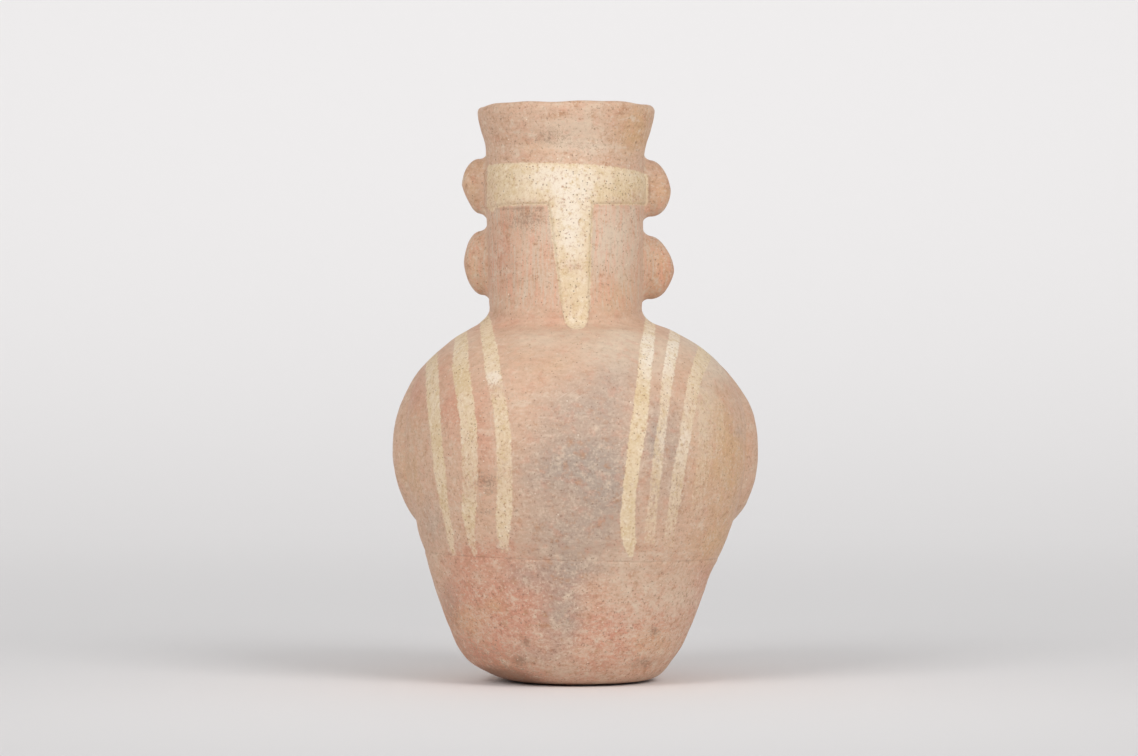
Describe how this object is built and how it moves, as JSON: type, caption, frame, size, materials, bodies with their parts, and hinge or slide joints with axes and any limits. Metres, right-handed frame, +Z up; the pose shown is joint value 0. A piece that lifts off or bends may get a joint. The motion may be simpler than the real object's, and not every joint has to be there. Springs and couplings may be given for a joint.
{
  "type": "figural jar",
  "caption": "Round-bodied terracotta face-neck jar with flared mouth, side lugs, raised cream headband with a hanging tail, and low-relief arms.",
  "frame": {"origin": "middle of the foot under the belly's axis, on the plane that the jar stands on", "axes": "+Z up, +Y the way the figure faces, +X to the figure's right"},
  "size_m": [0.1916, 0.18, 0.3],
  "materials": {
    "terracotta": "burnished, unglazed, fire-clouded",
    "raw_clay": "smeared by hand, unburnished",
    "cream_slip": "matt brushed slip"
  },
  "bodies": {
    "root": {"base_bowl": "terracotta", "shoulder_wall": "terracotta", "neck_wall": "terracotta", "rim_collar": "terracotta", "seam_luting_coil": "raw_clay", "neck_luting_coil": "raw_clay", "headband_back": "cream_slip", "headband_front": "cream_slip", "headband_tail": "cream_slip", "headdress_knob_left": "terracotta", "headdress_knob_right": "terracotta", "ear_left": "terracotta", "ear_right": "terracotta", "brow_left": "terracotta", "brow_right": "terracotta", "eye_left": "terracotta", "eye_right": "terracotta", "nose": "terracotta", "upper_lip": "terracotta", "lower_lip": "terracotta", "chin": "terracotta", "arm_left": "terracotta", "arm_right": "terracotta", "hand_left": "terracotta", "hand_right": "terracotta"}
  },
  "joints": []
}
